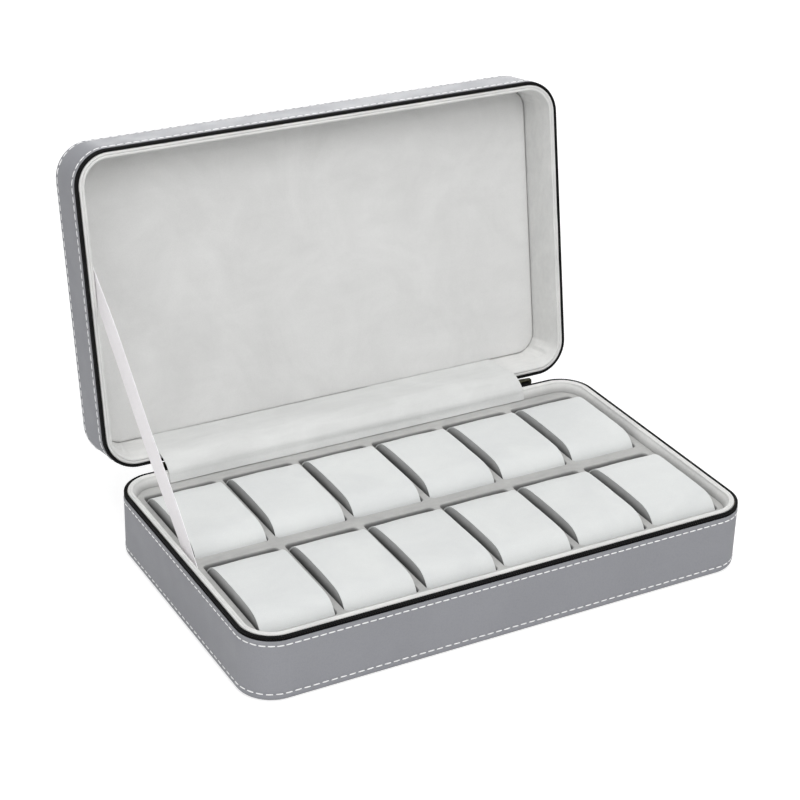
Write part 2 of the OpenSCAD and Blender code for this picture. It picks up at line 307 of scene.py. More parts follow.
@dataclass(frozen=True)
class Velvet:
    """Short-pile velvet, brushed into paler and darker patches.

    Patch is waves per metre, and streak is the share of the longer streaks in the
    patches. Deep names two heights in mm, between which the colour darkens downwards
    as painted shade for a narrow slot, and the share of its colour that is left at the lower one.
    """

    name: str
    light: Colour
    dark: Colour
    patch: float = 20.0
    contrast: Point = (0.38, 0.64)
    pile: float = 0.3
    streak: float = 0.3
    deep: Place | None = None
    fibres: float = 2300.0
    shadow: Colour = (0.93, 0.93, 0.93, 1)

    def build(self) -> bpy.types.Material:
        """Makes the material.

        Returns:
            The material.
        """
        t = Tree(self.name)
        where = t.place((1, 1.4, 0.8))
        brushed = t.noise(where, self.patch, 5, 0.62, 0.7)
        streak = t.noise(t.place((1, 5, 3)), self.patch * 2.2, 3, 0.55, 0.3)
        patches = t.weigh(brushed, 1 - self.streak, streak, self.streak)
        base = t.tones(patches, self.dark, self.light, *self.contrast)
        fibre = t.noise(where, self.fibres, 4, 0.7)
        speck = t.tones(fibre, self.shadow, (1, 1, 1, 1), 0.32, 0.6)
        mix = t.add("Mix", data_type="RGBA", blend_type="MULTIPLY", I0=1.0, I6=base, I7=speck)
        colour = mix.outputs[2]
        # Painted shade: the colour darkens towards the bottom, by height, for deep slots.
        if self.deep:
            colour = self.sink(t, colour, *self.deep)
        return t.finish(
            Base_Color=colour,
            Roughness=0.92,
            Normal=t.relief([(t.noise(where, 150), 0.18, 0.0009), (fibre, self.pile, 0.00028)]),
            Specular_IOR_Level=0.15,
            Sheen_Weight=0.18,
            Sheen_Roughness=0.45,
        )

    def sink(self, t: Tree, colour: Socket, low: float, high: float, left: float) -> Socket:
        """Darkens a colour between two heights, as painted shade for deep, narrow places.

        Args:
            t: The material's tree.
            colour: The colour.
            low: Height in mm at which it is darkest.
            high: Height in mm from which it stays as it is.
            left: Share of the colour that is left at the lower height.

        Returns:
            The darkened colour.
        """
        height = t.add("SeparateXYZ", Vector=t.place()).outputs["Z"]
        span = {"From_Min": low * MM, "From_Max": high * MM, "To_Min": left, "To_Max": 1.0}
        shade = t.add("MapRange", interpolation_type="SMOOTHSTEP", Value=height, **span)
        return t.add(
            "VectorMath", operation="SCALE", I0=colour, Scale=shade.outputs["Result"]
        ).outputs["Vector"]


@dataclass(frozen=True)
class Weave:
    """Woven tape, ribbon or thread, with ribs along and across it.

    Ribs are waves per metre, or per width where the ribs follow the piece's own
    map. Shine is the level of the clear reflection.
    """

    name: str
    light: Colour
    dark: Colour
    ribs: float
    gloss: float
    sheen: float = 0.1
    mapped: bool = False
    shine: float = 0.4

    def build(self) -> bpy.types.Material:
        """Makes the material.

        Returns:
            The material.
        """
        t = Tree(self.name)
        where = t.add("TexCoord").outputs["UV"] if self.mapped else t.place()
        across = "Y" if self.mapped else "DIAGONAL"
        warp = t.add(
            "TexWave", wave_type="BANDS", bands_direction="X", Vector=where, Scale=self.ribs,
            Distortion=0.4, Detail=1.0,
        ).outputs["Fac"]
        weft = t.add(
            "TexWave", wave_type="BANDS", bands_direction=across, Vector=where,
            Scale=self.ribs * 0.8, Distortion=0.6, Detail=1.0,
        ).outputs["Fac"]
        ribs = t.math("MAXIMUM", warp, weft)
        fuzz = t.noise(t.place(), 1800, 3, 0.6)
        return t.finish(
            Base_Color=t.tones(t.weigh(ribs, 0.6, fuzz, 0.4), self.dark, self.light, 0.3, 0.75),
            Roughness=self.gloss,
            Normal=t.relief([(ribs, 0.4, 0.00015), (fuzz, 0.2, 0.0001)]),
            Specular_IOR_Level=self.shine,
            Sheen_Weight=self.sheen,
            Sheen_Roughness=0.4,
        )


@dataclass(frozen=True)
class Hard:
    """Moulded nylon, worn metal, fibreboard or foam, by its numbers.

    Grain is waves per metre and depth the relief's, in metres. Shine is the level
    of the clear reflection.
    """

    name: str
    light: Colour
    dark: Colour
    metal: float = 0.0
    rough: Point = (0.4, 0.55)
    grain: float = 300.0
    depth: float = 0.0001
    shine: float = 0.5

    def build(self) -> bpy.types.Material:
        """Makes the material.

        Returns:
            The material.
        """
        t = Tree(self.name)
        where = t.place()
        cloud = t.noise(where, self.grain * 0.3, 4, 0.6)
        fine = t.noise(where, self.grain * 4, 3, 0.6)
        return t.finish(
            Base_Color=t.tones(cloud, self.dark, self.light, 0.35, 0.65),
            Metallic=self.metal,
            Roughness=t.spread(fine, *self.rough),
            Normal=t.relief([(fine, 0.25, self.depth)]),
            Specular_IOR_Level=self.shine,
        )


class Finish(Enum):
    """Every finish on the case."""

    BASE_LEATHER = Leather("leather_base", 0.0, BASE_ROWS)
    LID_LEATHER = Leather("leather_lid", LID_OPEN, LID_ROWS)
    SPINE_LEATHER = Leather("leather_spine")
    # The lining darkens towards the tray as painted shade (deep).
    LINING = Velvet(
        "velvet_lining", linear(222, 222, 220), linear(209, 209, 208), 26,
        deep=(35.5, 42.2, 0.58),
    )
    # Tray velvet: colours set darker than the lining's as painted shade for the sunken tray, and
    # darker still down the slots as painted shade (deep).
    TRAY = Velvet(
        "velvet_tray_painted_shade", linear(181, 181, 179), linear(166, 166, 165), 30,
        deep=(33.4, 36.1, 0.38),
    )
    PAD = Velvet(
        "velvet_lid_pad", linear(222, 222, 221), linear(212, 212, 211), 21, (0.36, 0.66),
        streak=0.2,
    )
    LINER = Velvet("velvet_hinge", linear(213, 214, 213), linear(202, 203, 202), 18)
    PILLOW = Velvet(
        "velvet_pillow", linear(217, 219, 218), linear(209, 211, 211), 22, (0.32, 0.7),
        pile=0.2, streak=0.08,
    )
    # Pillow side panels: a little darker than the tops, and darker towards the bottom as painted
    # shade for the narrow gaps between pillows (deep).
    PILLOW_SIDE = Velvet(
        "velvet_pillow_side_painted_shade", linear(208, 209, 209), linear(192, 193, 193), 40, (0.3, 0.7),
        streak=0.1, deep=(33.0, 42.6, 0.2),
    )
    TAPE = Weave(
        "zip_tape_black", linear(18, 18, 19), linear(4, 4, 5), 900, 0.9, 0.0, shine=0.12
    )
    RIBBON = Weave(
        "ribbon_satin", linear(255, 252, 254), linear(248, 245, 248), 34, 0.5, 0.3, mapped=True
    )
    THREAD = Weave(
        "thread_white", linear(250, 250, 250), linear(234, 234, 235), 1500, 0.75, 0.2
    )
    NYLON = Hard(
        "nylon_black", linear(12, 12, 13), linear(4, 4, 5), rough=(0.5, 0.65), shine=0.14
    )
    METAL = Hard(
        "zip_metal", linear(104, 102, 84), linear(74, 72, 58), 1.0, (0.28, 0.42), 500, 0.00003
    )
    BOARD = Hard(
        "fibreboard", linear(176, 152, 118), linear(146, 122, 92), 0.0, (0.8, 0.95), 200, 0.0002
    )
    FOAM = Hard(
        "foam", linear(232, 226, 206), linear(214, 206, 184), 0.0, (0.9, 1.0), 500, 0.0004
    )


class Wardrobe:
    """Builds each finish once and hands it out."""

    def __init__(self) -> None:
        """Starts with nothing built."""
        self.made: dict[Finish, bpy.types.Material] = {}

    def __getitem__(self, finish: Finish) -> bpy.types.Material:
        """Hands out a finish, made on first use.

        Args:
            finish: The finish.

        Returns:
            Its material.
        """
        if finish not in self.made:
            self.made[finish] = finish.value.build()
        return self.made[finish]

    def dress(self, obj: Piece, finish: Finish, *others: Finish) -> None:
        """Puts finishes on a piece.

        Args:
            obj: The piece.
            finish: The finish of all faces that name no other.
            others: Finishes of the faces that have their numbers, from 1.
        """
        slots = obj.data.materials
        if len(slots) != 1 + len(others):
            slots.clear()
            for _ in (finish, *others):
                slots.append(None)
        for k, each in enumerate((finish, *others)):
            slots[k] = self[each]


WARDROBE = Wardrobe()


# ---------------------------------------------------------------- modelling helpers


def only(obj: Piece) -> None:
    """Deselects all else and makes this piece the active one.

    Args:
        obj: The piece.
    """
    for other in bpy.context.selected_objects:
        other.select_set(False)
    obj.select_set(True)
    bpy.context.view_layer.objects.active = obj


def started(name: str, add: Callable[..., object], **values: object) -> Piece:
    """Adds a primitive with nothing else selected, and names it.

    Args:
        name: The piece's name.
        add: The operator that adds the primitive.
        values: The operator's values. Scale is applied afterwards.

    Returns:
        The piece, at the origin, with its place in its mesh.
    """
    for other in bpy.context.selected_objects:
        other.select_set(False)
    size = values.pop("scale", (1, 1, 1))
    add(**values)
    obj = bpy.context.active_object
    obj.name = obj.data.name = name
    obj.scale = size
    bpy.ops.object.transform_apply(location=True, rotation=True, scale=True)
    return obj


def rod(
    name: str, radius: float, length: float, centre: Sequence[float] = (0, 0, 0),
    axis: str = "X", sides: int = 24,
) -> Piece:
    """Adds a cylinder that lies along an axis.

    Args:
        name: The piece's name.
        radius: Its radius in mm.
        length: Its length in mm.
        centre: Its centre in mm.
        axis: X or Y.
        sides: How many sides it has.

    Returns:
        The cylinder.
    """
    turn = (0, math.pi / 2, 0) if axis == "X" else (math.pi / 2, 0, 0)
    return started(
        name, bpy.ops.mesh.primitive_cylinder_add, vertices=sides, radius=radius * MM,
        depth=length * MM, location=[c * MM for c in centre], rotation=turn,
    )


def edit(obj: Piece, mode: str, picked: Callable[[object], bool] | None = None) -> None:
    """Enters edit mode with some vertices, edges or faces selected.

    Args:
        obj: The piece.
        mode: VERT, EDGE or FACE.
        picked: Says which elements are selected. None selects all of them.
    """
    only(obj)
    mesh = obj.data
    bpy.ops.object.mode_set(mode="EDIT")
    bpy.ops.mesh.select_mode(type=mode)
    bpy.ops.mesh.select_all(action="SELECT" if picked is None else "DESELECT")
    if picked is None:
        return
    bpy.ops.object.mode_set(mode="OBJECT")
    group = {"VERT": mesh.vertices, "EDGE": mesh.edges, "FACE": mesh.polygons}[mode]
    for element in group:
        element.select = bool(picked(element))
    bpy.ops.object.mode_set(mode="EDIT")


def done() -> None:
    """Leaves edit mode."""
    bpy.ops.object.mode_set(mode="OBJECT")


def modify(obj: Piece, kind: str, **values: object) -> None:
    """Adds a modifier, fills it and applies it.

    Args:
        obj: The piece.
        kind: The modifier's type.
        values: Its settings.
    """
    only(obj)
    modifier = obj.modifiers.new(kind.lower(), kind)
    for key, value in values.items():
        setattr(modifier, key, value)
    bpy.ops.object.modifier_apply(modifier=modifier.name)


def cut(obj: Piece, tool: Piece) -> None:
    """Takes a tool's shape out of a piece, and removes the tool."""
    modify(obj, "BOOLEAN", operation="DIFFERENCE", object=tool, solver="EXACT")
    bpy.data.objects.remove(tool)


def joined(name: str, parts: Sequence[Piece]) -> Piece:
    """Joins parts into the first of them.

    Args:
        name: The joined piece's name.
        parts: The parts.

    Returns:
        The joined piece.
    """
    only(parts[0])
    for part in parts[1:]:
        part.select_set(True)
    bpy.ops.object.join()
    parts[0].name = parts[0].data.name = name
    return parts[0]


def soften(obj: Piece, angle: float = 35.0) -> None:
    """Shades a piece smooth, apart from its edges sharper than an angle in degrees."""
    only(obj)
    bpy.ops.object.shade_smooth_by_angle(angle=math.radians(angle))


def ripple(obj: Piece, size: float, strength: float) -> None:
    """Moves a surface in and out a little, in soft clouds.

    Args:
        obj: The piece.
        size: Size of the clouds in metres.
        strength: How far in and out it goes in all, in metres.
    """
    clouds = bpy.data.textures.new("ripple", "CLOUDS")
    clouds.noise_scale = size
    clouds.noise_depth = 1
    modify(
        obj, "DISPLACE", texture=clouds, texture_coords="LOCAL", strength=strength, mid_level=0.5
    )


def wear(
    obj: Piece, body: str, slot: str, finish: Finish | tuple[Finish, ...], *nodes: str
) -> None:
    """Dresses a finished piece, sets it on its body and logs it.

    Args:
        obj: The piece.
        body: The body it rides on, or empty for a piece left on no body.
        slot: Its material slot. Not used.
        finish: Its finish, or its finishes in the order of their numbers.
        nodes: The nodes it stands for.
    """
    WARDROBE.dress(obj, *(finish if isinstance(finish, tuple) else (finish,)))
    if body:
        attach(obj, body)
    if nodes:
        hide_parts(*nodes)
    LOG.info("%s on %s, %d faces", obj.name, body or "two bodies", len(obj.data.polygons))


def twin(unit: Piece, name: str, place: Matrix) -> Piece:
    """Copies a piece, with its own mesh, to a place.

    Args:
        unit: The piece.
        name: The copy's name.
        place: Where the copy goes.

    Returns:
        The copy.
    """
    obj = unit.copy()
    obj.data = unit.data.copy()
    obj.name = obj.data.name = name
    obj.data.transform(place)
    bpy.context.scene.collection.objects.link(obj)
    return obj


def copies(name: str, unit: Piece, places: Sequence[Matrix]) -> Piece:
    """Sets copies of a modelled unit at many places and joins them as one piece.

    Args:
        name: The joined piece's name.
        unit: The modelled unit, about the origin. It is removed.
        places: Where each copy goes.

    Returns:
        The joined piece.
    """
    made = [twin(unit, name, place) for place in places]
    bpy.data.objects.remove(unit)
    return joined(name, made)


def at_hinge(point: Vector, half: float) -> bool:
    """Says whether a point is on the back wall, within a half length in mm."""
    return abs(point.x) < half * MM and point.y > CASE.depth / 2 - 10 * MM


@dataclass(frozen=True)
class Outline:
    """The case's plan: a rectangle with round corners, about the origin, in metres."""

    width: float = 0.335
    depth: float = 0.200
    radius: float = 0.022

    def sides(self) -> Point:
        """Lengths of the straight stretches: the short sides' and the long sides'."""
        return self.depth - 2 * self.radius, self.width - 2 * self.radius

    def walk(self, inset: float, pitch: float) -> list[tuple[Vector, float]]:
        """Evenly spaced stations round the outline, against the clock from above.

        Args:
            inset: Distance in from the outline.
            pitch: Spacing wanted. It is made to divide the length.

        Returns:
            Each station's point at height 0 and the heading of the outline there.
        """
        short, long = self.sides()
        arc = (self.radius - inset) * math.pi / 2
        length = 2 * (short + long + 2 * arc)
        count = round(length / pitch)
        return [self.at(k * length / count, inset) for k in range(count)]

    def at(self, s: float, inset: float) -> tuple[Vector, float]:
        """Finds a place on the outline.

        Args:
            s: Distance along the outline.
            inset: Distance in from it.

        Returns:
            The point there, and the heading of the outline.
        """
        short, long = self.sides()
        arc = (self.radius - inset) * math.pi / 2
        hw, hd, r = self.width / 2, self.depth / 2, self.radius
        for side in range(4):
            straight = short if side % 2 == 0 else long
            turn = Matrix.Rotation(side * math.pi / 2, 3, "Z")
            heading = (side + 1) * math.pi / 2
            across, along = (hw, hd) if side % 2 == 0 else (hd, hw)
            if s <= straight:
                return turn @ Vector((across - inset, s - straight / 2, 0)), heading
            s -= straight
            if s <= arc:
                a = s / (r - inset)
                centre = Vector((across - r, along - r, 0))
                spoke = (r - inset) * Vector((math.cos(a), math.sin(a), 0))
                return turn @ (centre + spoke), heading + a
            s -= arc
        return self.at(s, inset)

    def sweep(
        self, name: str, section: Sequence[Point], runs: tuple[int, int] = (14, 26), turn: int = 12
    ) -> Piece:
        """Carries a closed section round the outline by extruding and spinning it.

        Args:
            name: The new piece's name.
            section: Points as distance in from the outline and height, in mm.
            runs: Steps along a short and a long side.
            turn: Steps round a corner.

        Returns:
            The piece, closed on itself.
        """
        hw, hd, r = self.width / 2, self.depth / 2, self.radius
        obj = started(
            name, bpy.ops.mesh.primitive_circle_add, vertices=len(section), radius=0.01
        )
        for vertex, (i, z) in zip(obj.data.vertices, section, strict=True):
            vertex.co = (hw - i * MM, r - hd, z * MM)
        edit(obj, "EDGE")
        lengths = self.sides()
        for side, (sx, sy) in enumerate(((1, 1), (-1, 1), (-1, -1), (1, -1))):
            heading = Matrix.Rotation(side * math.pi / 2, 3, "Z") @ Vector((0, 1, 0))
            step = heading * lengths[side % 2] / runs[side % 2]
            for _ in range(runs[side % 2]):
                bpy.ops.mesh.extrude_region_move(TRANSFORM_OT_translate={"value": step})
            bpy.ops.mesh.spin(
                steps=turn, angle=-math.pi / 2, center=(sx * (hw - r), sy * (hd - r), 0),
                axis=(0, 0, 1),
            )
        bpy.ops.mesh.select_all(action="SELECT")
        bpy.ops.mesh.remove_doubles(threshold=1e-5)
        bpy.ops.mesh.normals_make_consistent(inside=False)
        done()
        return obj


CASE = Outline()


def onto_lid(obj: Piece) -> Piece:
    """Turns a piece made on the shut lid to where the ribbon holds the lid open.

    Args:
        obj: The piece.

    Returns:
        The same piece.
    """
    obj.data.transform(LID_REST)
    obj.data.update()
    return obj


def on_lid(y: float, z: float) -> Point:
    """Where the open lid has a point of the shut one, in mm."""
    p = LID_REST @ Vector((0, y * MM, z * MM))
    return p.y / MM, p.z / MM


def roll(centre: Point, radius: float, start: float, end: float, steps: int) -> list[Point]:
    """Points of an arc in a section.

    Args:
        centre: Its centre.
        radius: Its radius.
        start: Angle of the first point, in degrees.
        end: Angle of the last point, in degrees.
        steps: Steps between the two.

    Returns:
        The points, both ends among them.
    """
    angles = [math.radians(start + (end - start) * k / steps) for k in range(steps + 1)]
    return [(centre[0] + radius * math.cos(a), centre[1] + radius * math.sin(a)) for a in angles]


def smooth_line(points: Sequence[Point], steps: int) -> list[Point]:
    """A smooth line through some points.

    Args:
        points: The points.
        steps: Steps between each two of them.

    Returns:
        The line's points.
    """
    made: list[Point] = []
    last = len(points) - 1
    for i in range(last):
        a, b, c, d = (Vector(points[k]) for k in (max(i - 1, 0), i, i + 1, min(i + 2, last)))
        for j in range(steps):
            t = j / steps
            slope, bend = (c - a) * t, (2 * a - 5 * b + 4 * c - d) * t**2
            made.append(tuple(b + (slope + bend + (3 * b - a - 3 * c + d) * t**3) / 2))
    return [*made, tuple(points[last])]


# ---------------------------------------------------------------- leather and stitching


@dataclass
class LeatherShell:
    """The two halves' leather: dressed nodes, and white stitches along their edges.

    Sizes are in mm. Covered is half the length of the back that the spine covers,
    and the spine's rows are given by their depth and height in the shut case. A
    stitch strays in height and sways in radians. Its ends narrow by taper and go
    down by dive, press flattens its round, and its middle stands out by lift.
    """

    stitch: float = 3.9
    thread: float = 0.42
    pitches: Point = (5.15, 5.6)
    covered: float = 124.0
    spine_half: float = 120.0
    spine_base: Point = (101.05, 33.0)
    spine_lid: Point = (101.35, 53.2)
    stray: float = 0.06
    sway: float = 0.03
    taper: float = 0.25
    press: float = 0.8
    dive: float = 0.16
    lift: float = 0.06

    def build(self) -> None:
        """Dresses the leather nodes and sews all six rows."""
        for name in ("base_bottom_leather", "base_side_leather"):
            WARDROBE.dress(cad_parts[name], Finish.BASE_LEATHER)
        for name in ("lid_back_leather", "lid_side_leather"):
            WARDROBE.dress(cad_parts[name], Finish.LID_LEATHER)
        for k in range(2):
            self.fasten(self.sew(f"base_stitches_{k + 1}", BASE_ROWS[k], k, k), "base")
        self.fasten(self.sew_spine("spine_stitches_base", self.spine_base), "base")
        self.fasten(onto_lid(self.sew_spine("spine_stitches_lid", self.spine_lid)), "lid")
        for k in range(2):
            row = self.sew(f"lid_stitches_{k + 1}", LID_ROWS[k], k, k + 2)
            self.fasten(onto_lid(row), "lid")

    def fasten(self, row: Piece, half: str) -> None:
        """Sets a sewn row on its half."""
        wear(row, half, "leather", Finish.THREAD)

    def one_stitch(self) -> Piece:
        """Makes a thread along X whose two ends dive into the leather.

        Returns:
            The stitch, about the origin.
        """
        obj = rod("stitch", self.thread, self.stitch, sides=8)
        edit(obj, "FACE", lambda f: abs(f.normal.x) > 0.9)
        for _ in range(2):
            bpy.ops.mesh.inset(thickness=0.1 * MM, depth=0.0)
        done()
        half = self.stitch * MM / 2
        edit(obj, "FACE", lambda f: abs(f.normal.x) < 0.1)
        bpy.ops.mesh.subdivide(number_cuts=2)
        done()
        for v in obj.data.vertices:
            end = (v.co.x / half) ** 4
            v.co.y *= 1 - self.taper * end
            v.co.z = v.co.z * self.press - self.dive * MM * end + self.lift * MM
        return obj

    def sew_row(self, name: str, places: Sequence[Matrix]) -> Piece:
        """Sets stitches at many places as one row.

        Args:
            name: The row's name.
            places: Where the stitches go.

        Returns:
            The row.
        """
        obj = copies(name, self.one_stitch(), places)
        soften(obj, 60)
        return obj

    def sew_spine(self, name: str, line: Point) -> Piece:
        """Sews a straight row along one edge of the leather spine.

        Args:
            name: The row's name.
            line: Its depth and height in mm.

        Returns:
            The row.
        """
        turn = Matrix(((-1, 0, 0), (0, 0, 1), (0, 1, 0))).to_4x4()
        pitch = self.pitches[0]
        count = int(2 * self.spine_half / pitch)
        starts = ((k - count / 2) * pitch for k in range(count + 1))
        places = [Matrix.Translation(Vector((x, *line)) * MM) @ turn for x in starts]
        return self.sew_row(name, places)

    def sew(self, name: str, height: float, k: int, seed: int) -> Piece:
        """Sews one row round a half's outer face.

        Args:
            name: The row's name.
            height: Its height in the shut case, in mm.
            k: 0 for the row beside the zip, which the spine interrupts, or 1.
            seed: Number that settles how the stitches stray.

        Returns:
            The row.
        """
        dice = random.Random(seed)
        up = Vector((0, 0, 1))
        places = []
        for point, heading in CASE.walk(0.0, self.pitches[k] * MM):
            if k == 0 and at_hinge(point, self.covered):
                continue
            out = Vector((math.sin(heading), -math.cos(heading), 0))
            along = Vector((math.cos(heading), math.sin(heading), 0))
            turn = Matrix((along, -up, out)).transposed().to_4x4()
            wobble = Matrix.Rotation(dice.uniform(-self.sway, self.sway), 4, "Z")
            there = point + up * (height + dice.uniform(-self.stray, self.stray)) * MM
            places.append(Matrix.Translation(there) @ turn @ wobble)
        return self.sew_row(name, places)


# ---------------------------------------------------------------- zip


@dataclass
class ZipRun:
    """The zip round both rims: tape nodes and a coil of separate turns, in mm.

    Inset is the coil's distance in from the outline. The cord is the core that the
    turns are wound on.
    """

    inset: float = 1.1
    base_height: float = 41.7
    lid_height: float = 44.3
    turn_r: float = 0.78
    wire_r: float = 0.3
    cord_r: float = 0.94
    pitch: float = 1.5
    lean: float = 0.22
    hinge_half: float = 125.0
    end_size: Point = (7.6, 8.15)
    end_centre: Place = (129.4, 104.125, 41.4)
    end_thick: float = 0.8

    def build(self) -> None:
        """Dresses the tapes, winds both coils and makes the crossing tape ends."""
        for name in ("base_zip_tape", "lid_zip_tape"):
            WARDROBE.dress(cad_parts[name], Finish.TAPE)
        WARDROBE.dress(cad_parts["zip_end_stops"], Finish.METAL)
        base = self.coil("base_coil_turns", self.base_height)
        wear(base, "base", "zip_coil", Finish.NYLON, "base_zip_coil")
        lid = onto_lid(self.coil("lid_coil_turns", self.lid_height))
        wear(lid, "lid", "zip_coil", Finish.NYLON, "lid_zip_coil")
        wear(self.ends(), "", "zip_tape", Finish.TAPE, "zip_end_tapes")

    def coil(self, name: str, height: float) -> Piece:
        """Winds the coil along one rim, each turn leaning a little, round its cord.

        Args:
            name: The coil's name.
            height: Height of its middle in the shut case, in mm.

        Returns:
            The coil.
        """
        unit = started(
            "turn", bpy.ops.mesh.primitive_torus_add, major_segments=12, minor_segments=5,
            major_radius=self.turn_r * MM, minor_radius=self.wire_r * MM,
            rotation=(0, math.pi / 2, 0),
        )
        places = [
            Matrix.Translation(point + Vector((0, 0, height * MM)))
            @ Matrix.Rotation(heading + self.lean, 4, "Z")
            for point, heading in CASE.walk(self.inset * MM, self.pitch * MM)
            if not at_hinge(point, self.hinge_half)
        ]
        turns = copies(name, unit, places)
        cord = CASE.sweep("cord", roll((self.inset, height), self.cord_r, 0, 330, 11))
        edit(cord, "FACE", lambda f: at_hinge(f.center, self.hinge_half))
        bpy.ops.mesh.delete(type="FACE")
        done()
        obj = joined(name, [turns, cord])
        soften(obj, 60)
        return obj

    def ends(self) -> Piece:
        """Makes the two short tapes that cross from rim to rim beside the hinge.

        Returns:
            Both tapes, as two flat strips.
        """
        across, along = self.end_size
        x, y, z = self.end_centre
        parts = []
        for side in (-1, 1):
            tape = started(
                "zip_end", bpy.ops.mesh.primitive_grid_add, x_subdivisions=6, y_subdivisions=10,
                size=1,
            )
            tape.data.transform(Matrix.Diagonal((across * MM, along * MM, 1, 1)))
            tape.data.transform(Matrix.Translation([c * MM for c in (side * x, y, z)]))
            modify(tape, "SOLIDIFY", thickness=self.end_thick * MM, offset=0)
            parts.append(tape)
        obj = joined("zip_tape_ends", parts)
        soften(obj)
        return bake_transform(obj)


@dataclass
class ZipSlider:
    """One slider beside the hinge, with its bridge and hanging pull, in mm.

    Side is 1 at the right and -1 at the left. Pin is the depth and the height of
    the pin that the pull hangs from. Narrow is the share of its width that a plate
    loses at the nose. Tab is the pull's width, thickness and length, eye the outer
    radius, bore and length of its ring, and hole a radius and how far down it is.
    """

    side: int
    label: str
    x: float = 131.0
    pin: Point = (104.0, 37.3)
    pin_r: float = 0.7
    front: float = 103.0
    back: float = 107.4
    plates: Point = (39.5, 42.0)
    plate_t: float = 1.3
    nose: float = 5.2
    middle: float = 104.2
    narrow: float = 0.38
    ears: Point = (-3.1, 2.1)
    tab: Place = (8.0, 1.4, 22.0)
    hang: float = 1.6
    eye: Place = (1.7, 0.8, 3.4)
    hole: Point = (1.9, 19.0)

    def build(self) -> None:
        """Makes the slider and the pull and sets them on their bodies."""
        for kind, made in (("slider", self.body()), ("pull", self.pull())):
            name = f"{kind}_{self.label}"
            wear(made, name, "zip_metal", Finish.METAL, f"zip_{name}")

    def block(self, name: str, low: Place, high: Place, round_off: float) -> Piece:
        """Makes a small cast block with softened edges, at the right.

        Args:
            name: The block's name.
            low: Its least corner in mm, with x from the slider's middle.
            high: Its greatest corner, the same way.
            round_off: Width of the softened edge in mm.

        Returns:
            The block.
        """
        across = (self.x + low[0], self.x + high[0])
        spans = [across, *zip(low[1:], high[1:], strict=True)]
        obj = started(
            name, bpy.ops.mesh.primitive_cube_add, size=1,
            location=[(a + b) / 2 * MM for a, b in spans],
            scale=[(b - a) * MM for a, b in spans],
        )
        modify(obj, "BEVEL", width=round_off * MM, segments=3, limit_method="ANGLE")
        return obj

    def assemble(self, name: str, parts: Sequence[Piece]) -> Piece:
        """Joins the parts, mirrors them for the left side and shades them.

        Args:
            name: The piece's name.
            parts: Its parts, made at the right.

        Returns:
            The piece.
        """
        obj = joined(name, parts)
        if self.side < 0:
            obj.data.transform(Matrix.Diagonal((-1, 1, 1, 1)))
            edit(obj, "FACE")
            bpy.ops.mesh.flip_normals()
            done()
        soften(obj)
        return obj

    def body(self) -> Piece:
        """Makes two plates that taper to the nose, the neck, the ears and the pin.

        Returns:
            The slider.
        """
        parts = []
        mid = self.middle * MM
        for z in self.plates:
            plate = self.block(
                "plate", (-4.2, self.front, z), (self.nose, self.back, z + self.plate_t), 0.35
            )
            for v in plate.data.vertices:
                out = max(0.0, (v.co.x / MM - self.x) / self.nose)
                v.co.y = mid + (v.co.y - mid) * (1 - self.narrow * out**2)
            parts.append(plate)
        parts.append(self.block("neck", (3.2, 103.2, 40.8), (self.nose, 105.2, 42.0), 0.2))
        for ear in self.ears:
            parts.append(self.block("ear", (ear, 103, 36.3), (ear + 1, 105, 39.5), 0.3))
        parts.append(rod("pin", self.pin_r, 6.2, (self.x, *self.pin), sides=16))
        return self.assemble(f"slider_{self.label}_cast", parts)

    def pull(self) -> Piece:
        """Makes a ring eye and a flat, waisted tab with a pierced end.

        Returns:
            The pull.
        """
        x, (y, z) = self.x, self.pin
        wide, thick, long = self.tab
        outer, bore, deep = self.eye
        eye = rod("eye", outer, deep, (x, y, z))
        cut(eye, rod("bore", bore, 8, (x, y, z)))
        top, bottom = z - self.hang, z - self.hang - long
        plate = started(
            "plate", bpy.ops.mesh.primitive_cube_add, size=1,
            location=(x * MM, y * MM, (top + bottom) / 2 * MM),
            scale=(wide * MM, thick * MM, long * MM),
        )
        edit(plate, "EDGE")
        bpy.ops.mesh.subdivide(number_cuts=7)
        done()
        for v in plate.data.vertices:
            t = (v.co.z / MM - bottom) / long
            waist = 0.86 - 0.5 * t**3 + 0.14 * math.sin(math.pi * min(1, t * 1.3))
            v.co.x = x * MM + (v.co.x - x * MM) * waist
        cut(plate, rod("hole", self.hole[0], 6, (x, y, z - self.hole[1]), "Y"))
        modify(
            plate, "BEVEL", width=0.3 * MM, segments=2, limit_method="ANGLE",
            angle_limit=math.radians(50),
        )
        return self.assemble(f"pull_{self.label}_tab", [eye, plate])


# ---------------------------------------------------------------- velvet linings


